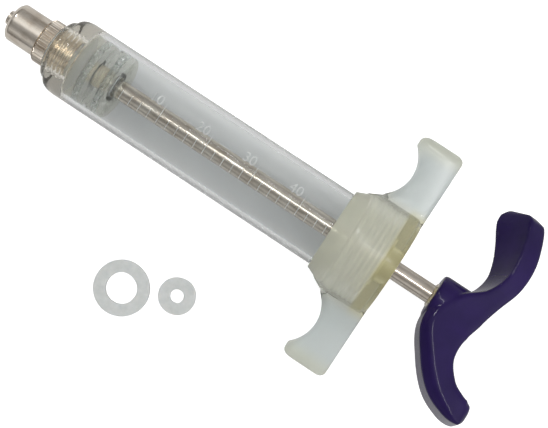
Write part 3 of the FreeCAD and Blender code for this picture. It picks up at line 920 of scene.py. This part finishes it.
def make_rod():
    """The plated rod with a threaded stud at each end."""
    start, end, thick = extent("rod")
    shoulder = start + STUD_LEN
    rod_end = ends("handle_insert")[0]

    def rod_shape(place, radius, angle):
        if place < shoulder and abs(radius - STUD) < SAME:
            height = ridge(place, angle, STUD_PITCH, start, shoulder, STUD_RUN)
            return radius - STUD_THREAD_DEPTH * (1 - height)
        if place > rod_end and abs(radius - REAR_STUD) < SAME:
            height = ridge(place, angle, REAR_PITCH, rod_end, end, REAR_RUN)
            return radius - REAR_THREAD_DEPTH * (1 - height)
        return radius

    corners = [
        (start, 0, 0),
        (start, STUD, 0.3),
        (shoulder, STUD, 0.1),
        (shoulder, thick, 0.3),
        (rod_end, thick, 0.2),
        (rod_end, REAR_STUD, 0.1),
        (end, REAR_STUD, 0.3),
        (end, 0, 0),
    ]
    points = divided(rounded(corners, False), start, shoulder, 0.1, closed=False)
    points = divided(points, rod_end, end, 0.12, closed=False)
    rod = as_object("rod_fine", lathe_mesh(points, 96, False, rod_shape), sharp=50)
    fit(rod, "plunger", "nickel", "rod", look="nickel_drawn")


def make_rod_fittings():
    """The plated ferrule in front of the handle, and the fluted brass insert inside it."""
    start, end, outer = extent("rod_ferrule")
    hole = radius_of("rod") + SNUG
    ferrule = turned("rod_ferrule_fine", [
        (start, hole, 0.1),
        (start, outer - FERRULE_STEP, 0.4),
        (start + FERRULE_CHAMFER, outer, 0.5),
        (end, outer, 0.1),
        (end, hole, 0.1),
    ])
    fit(ferrule, "plunger", "nickel", "rod_ferrule")

    start, end, outer = extent("handle_insert")
    stud_end = ends("rod")[1]
    insert = turned("handle_insert_fine", [
        (start, REAR_STUD + SNUG, 0.1),
        (start, outer, 0.3),
        (end, outer, 0.3),
        (end, 0, 0),
        (stud_end, 0, 0),
        (stud_end, REAR_STUD + SNUG, 0.1),
    ], sides=240, closed=False, rows=(start, end, 0.5), sharp=60, shape=fluted(outer, HANDLE_INSERT_FLUTE))
    fit(insert, "plunger", "brass", "handle_insert")


# -------- palm handle

# From the tip of the arm that hooks forward to the tip of the arm that sweeps back. Each station: behind the
# boss's front face, out from the axis, thickness, share of the full width, twist and lean in degrees, and the
# bevel on the front edges.
HANDLE_STATIONS = [
    (11.7, 43.8, 2.8, 0.38, -36, -26, 0.0),
    (11.9, 43.4, 5.0, 0.62, -36, -24, 0.0),
    (12.4, 42.6, 6.8, 0.80, -36, -20, 0.0),
    (13.2, 41.2, 8.0, 0.93, -36, -14, 0.2),
    (14.4, 39.0, 8.7, 1.00, -34, -7, 0.4),
    (17.2, 33.0, 8.9, 1.00, -28, 0, 0.6),
    (19.4, 26.0, 8.6, 1.00, -22, 0, 0.6),
    (19.9, 18.0, 7.8, 1.00, -16, 0, 0.6),
    (17.4, 9.5, 8.4, 1.00, -10, 0, 0.8),
    (13.0, 1.0, 14.0, 1.00, -4, 0, 1.4),
    (9.4, -8.0, 17.6, 1.00, 0, 0, 3.0),
    (12.6, -19.0, 12.2, 1.00, 0, 0, 3.4),
    (19.0, -27.0, 10.8, 1.00, 0, 0, 3.2),
    (25.6, -30.4, 10.2, 0.98, 0, 0, 2.2),
    (29.4, -31.0, 9.8, 0.88, 0, 0, 0.8),
    (31.4, -30.9, 8.2, 0.72, 0, 0, 0.3),
    (32.4, -30.9, 6.0, 0.54, 0, 0, 0.0),
    (32.8, -30.9, 3.4, 0.36, 0, 0, 0.0),
]
HANDLE_WIDTH, HANDLE_TURN = 18.0, 12.0
BOSS, BOSS_LEN, BOSS_ROUND, FERRULE_RECESS = 8.85, 14.0, 1.6, 1.6
HANDLE_VOXEL, HANDLE_SMOOTHING, HANDLE_SMOOTH_SHARE = 0.42, 7, 0.5
HANDLE_POCKET_ROOM = 0.05
STATION_STEPS = 9
BACK_ROUND, FRONT_ROUND, EDGE_ROUND, EDGE_ROUND_BEVELLED = 2.6, 0.7, 0.5, 0.3
BEVEL_SLANT, BEVEL_OUT_SHARE, BEVEL_ACROSS_SHARE = 0.85, 0.45, 0.3
PLAIN_BEVEL, PLAIN_SIDE_ROUND, PLAIN_FRONT_ROUND = 0.3, 1.6, 0.9
SECTION_SHARE = 0.45  # the most of a side that one rounding of an arm's outline may take


def catmull(before, start, end, after, share):
    """A smooth value between start and end."""
    square, cube = share * share, share ** 3
    return 0.5 * (2 * start + (end - before) * share
                  + (2 * before - 5 * start + 4 * end - after) * square
                  + (3 * start - before - 3 * end + after) * cube)


def smooth_stations():
    """The stations with smooth ones between them."""
    made = []
    count = len(HANDLE_STATIONS)
    for index in range(count - 1):
        around = [HANDLE_STATIONS[min(count - 1, max(0, index + shift))] for shift in (-1, 0, 1, 2)]
        for step in range(STATION_STEPS):
            share = step / STATION_STEPS
            made.append([catmull(*values, share) for values in zip(*around)])
    made.append(list(HANDLE_STATIONS[-1]))
    return made


def handle_section(thickness, width, bevel):
    """The arm's outline as (out, across) points: full rounding at the back, bevelled front edges."""
    back, front = thickness / 2, -thickness / 2
    half = width / 2
    if bevel < PLAIN_BEVEL:
        bevel_out = bevel_across = PLAIN_BEVEL
        side_round, front_round = PLAIN_SIDE_ROUND, PLAIN_FRONT_ROUND
    else:
        bevel_out = min(bevel, BEVEL_OUT_SHARE * thickness)
        bevel_across = min(BEVEL_SLANT * bevel, BEVEL_ACROSS_SHARE * width)
        side_round, front_round = EDGE_ROUND + EDGE_ROUND_BEVELLED * bevel, FRONT_ROUND
    corners = [
        (back, half, BACK_ROUND),
        (front + bevel_out, half, side_round),
        (front, half - bevel_across, front_round),
        (front, -half + bevel_across, front_round),
        (front + bevel_out, -half, side_round),
        (back, -half, BACK_ROUND),
    ]
    points = []
    for index, (_, _, easing) in enumerate(corners):
        here, to_before, to_after = sides_at(corners, index)
        before = to_before.normalized() * min(easing, SECTION_SHARE * to_before.length)
        after = to_after.normalized() * min(easing, SECTION_SHARE * to_after.length)
        points += eased(here, before, after)
    return points


def make_arms(boss_x):
    """Both arms of the handle as one skin through their stations, curving in the XY plane."""
    stations = smooth_stations()
    centres = [Vector((boss_x + station[0], station[1], 0)) for station in stations]
    bm = bmesh.new()
    rings = []
    last = len(stations) - 1
    for index, (_, _, thickness, share, twist, lean, bevel) in enumerate(stations):
        along = (centres[min(index + 1, last)] - centres[max(index - 1, 0)]).normalized()
        along.rotate(Matrix.Rotation(math.radians(lean), 3, "Z"))
        spin = Matrix.Rotation(math.radians(twist), 3, along)
        across = spin @ Vector((0, 0, 1))
        out = spin @ along.cross(Vector((0, 0, 1))).normalized()
        section = handle_section(thickness, share * HANDLE_WIDTH, max(0.0, bevel))
        rings.append([bm.verts.new((centres[index] + out * -u + across * v) * MM) for u, v in section])
    add_skin(bm, rings)
    return as_object("handle_arms", bm)


def make_handle():
    """The glossy palm handle: both arms and the round boss run into each other without a seam."""
    rod_end, pocket_end, pocket = extent("handle_insert")
    pocket += HANDLE_POCKET_ROOM
    recess = radius_of("rod_ferrule") + HANDLE_POCKET_ROOM
    boss_x = rod_end - FERRULE_RECESS
    boss = turned("handle_boss", [
        (boss_x, 0, 0),
        (boss_x, BOSS, BOSS_ROUND),
        (boss_x + BOSS_LEN, BOSS, 1.0),
        (boss_x + BOSS_LEN, 0, 0),
    ], closed=False)
    handle = combined("handle_rough", make_arms(boss_x), boss, "UNION")
    remesh = handle.modifiers.new("even", "REMESH")
    remesh.mode = "VOXEL"
    remesh.voxel_size = HANDLE_VOXEL * MM
    ease = handle.modifiers.new("ease", "SMOOTH")
    ease.factor = HANDLE_SMOOTH_SHARE
    ease.iterations = HANDLE_SMOOTHING
    handle = show_mesh("handle_eased", baked(handle), 180)
    hole = turned("handle_hole", [
        (boss_x - OVERSHOOT, 0, 0),
        (boss_x - OVERSHOOT, recess, 0),
        (rod_end, recess, 0),
        (rod_end, pocket, 0),
        (pocket_end, pocket, 0),
        (pocket_end, 0, 0),
    ], closed=False)
    handle = combined("handle_fine", handle, hole, "DIFFERENCE")
    handle.data.transform(Matrix.Rotation(math.radians(-HANDLE_TURN), 4, "X"))
    fit(handle, "plunger", "purple_plastic", "handle")


# -------- spare rings

SPARE_EASE, SPARE_WAVE, SPARE_WAVES, SPARE_ROUGHNESS, SPARE_PATCHES = 0.10, 0.10, 3, 0.06, 4


def make_spare(node, hole, seed):
    """A soft ring lying flat, a little out of round, its rims eased and its flats faintly uneven."""
    low, high = BOXES[node]
    centre = (low + high) / 2
    length = (high.z - low.z) / MM
    outer = (high.x - low.x) / 2 / MM
    rng = random.Random(seed)
    phases = [rng.uniform(0, TURN) for _ in range(SPARE_WAVES)]

    def uneven(place, radius, angle):
        bend = sum(math.sin((count + 2) * angle + phase) for count, phase in enumerate(phases)) / SPARE_WAVES
        spot = Vector((math.cos(angle) * SPARE_PATCHES, math.sin(angle) * SPARE_PATCHES, seed))
        return radius - SPARE_EASE - SPARE_WAVE * bend - SPARE_ROUGHNESS * noise.noise(spot)

    corners = tube(0, length, hole, outer, (0.3, 0.35, 0.35, 0.3))
    spare = turned(node + "_fine", corners, shape=uneven, sides=192)
    spare.data.transform(Matrix.Rotation(math.radians(-90), 4, "Y"))
    spare.data.transform(Matrix.Translation((centre.x, centre.y, low.z)))
    fit(spare, "barrel", "silicone", node)


# -------- surface, light and camera

CAMERA_AIM = (121.6, -7.0)  # the point on the axis plane under the view's centre
CAMERA_DISTANCE, CAMERA_TILT, CAMERA_ROLL, CAMERA_LENS = 500.0, 3.0, 33.4, 90.2
FLOOR_HALF = 6000.0


def make_floor():
    """A plain surface under the spare rings, lit so that the camera sees it white."""
    low = BOXES["spare_piston_ring"][0].z
    half = FLOOR_HALF * MM
    mesh = bpy.data.meshes.new("floor")
    corners = [(-half, -half, low), (half, -half, low), (half, half, low), (-half, half, low)]
    mesh.from_pydata(corners, [], [(0, 1, 2, 3)])
    floor = bpy.data.objects.new("floor", mesh)
    bpy.context.scene.collection.objects.link(floor)
    made, tree, shader = new_material("floor_look", Roughness=0.9, Specular_IOR_Level=0.1,
                                      Base_Color=(0.60, 0.60, 0.60, 1), Emission_Color=(1, 1, 1, 1))
    seen = tree.nodes.new("ShaderNodeLightPath").outputs["Is Camera Ray"]
    tree.links.new(span(tree, seen, 0, 1, 0.10, 0.85), shader.inputs["Emission Strength"])
    mesh.materials.append(made)


# How bright the studio is by how far a direction leans from straight up towards +Y, in degrees.
STUDIO_BANDS = [
    (-150, 0.40), (-85, 0.30), (-60, 0.85), (-33, 0.38), (-10, 0.58), (3, 1.45), (13, 1.30), (30, 0.88),
    (60, 0.52), (110, 0.60),
]
STUDIO_TINT = 1.0, 0.995, 0.985
STUDIO_ALONG = 0.48, 1.36  # the studio's strength towards the nozzle and towards the handle


def make_world():
    """A soft studio: a bright band towards +Y, a dim gap overhead and dim sides, so metal shows its form."""
    world = bpy.data.worlds.new("studio")
    bpy.context.scene.world = world
    world.use_nodes = True
    tree = world.node_tree
    background = tree.nodes["Background"]
    direction = parts_of(tree, tree.nodes.new("ShaderNodeTexCoord").outputs["Generated"])
    lean = calculated(tree, "ShaderNodeMath", "ARCTAN2", direction["Y"], direction["Z"])
    stops = [(0.5 + angle / 360, [level * part for part in STUDIO_TINT]) for angle, level in STUDIO_BANDS]
    bands = ramp(tree, span(tree, lean, -math.pi, math.pi, 0, 1), stops)
    tree.links.new(bands, background.inputs["Color"])
    tree.links.new(span(tree, direction["X"], -0.7, 0.7, *STUDIO_ALONG), background.inputs["Strength"])


def make_light(name, place, aim, size, power):
    """A rectangular area light in metres, turned towards the place it is aimed at."""
    data = bpy.data.lights.new(name, "AREA")
    data.shape = "RECTANGLE"
    data.size, data.size_y = size
    data.energy = power
    lamp = bpy.data.objects.new(name, data)
    lamp.location = place
    lamp.rotation_euler = (Vector(aim) - Vector(place)).to_track_quat("-Z", "Y").to_euler()
    bpy.context.scene.collection.objects.link(lamp)


def make_camera():
    """A long-lens camera almost straight above, rolled so that the piece lies across the view's diagonal."""
    roll, tilt = math.radians(CAMERA_ROLL), math.radians(CAMERA_TILT)
    back = Vector((math.sin(tilt), 0, math.cos(tilt)))
    right = Vector((math.cos(roll) * math.cos(tilt), math.sin(roll), -math.cos(roll) * math.sin(tilt)))
    up = back.cross(right)
    data = bpy.data.cameras.new("camera")
    data.lens = CAMERA_LENS
    data.sensor_width = 36.0
    camera = bpy.data.objects.new("camera", data)
    turn = Matrix((right, up, back)).transposed().to_4x4()
    place = Vector((*CAMERA_AIM, 0)) * MM + back * CAMERA_DISTANCE * MM
    camera.matrix_world = Matrix.Translation(place) @ turn
    bpy.context.scene.collection.objects.link(camera)
    bpy.context.scene.camera = camera


make_camera()
make_stem()
make_collar()
make_nozzle_seals()
make_barrel()
make_scale()
make_cap()
make_cap_fittings()
make_piston_front()
make_piston_core()
make_piston_rings()
make_piston_rear()
make_piston_insert()
make_rod()
make_rod_fittings()
make_handle()
make_spare("spare_piston_ring", hole=6.1, seed=3)
make_spare("spare_nozzle_gasket", hole=2.7, seed=8)
make_floor()
make_world()
make_light("soft_key", place=(-0.35, 0.30, 0.55), aim=(0.15, 0, 0), size=(0.10, 0.10), power=1.0)
make_light("strip", place=(0.22, 0.115, 0.80), aim=(0.16, 0, 0), size=(0.60, 0.035), power=1.1)
bpy.context.scene.view_settings.view_transform = "Standard"
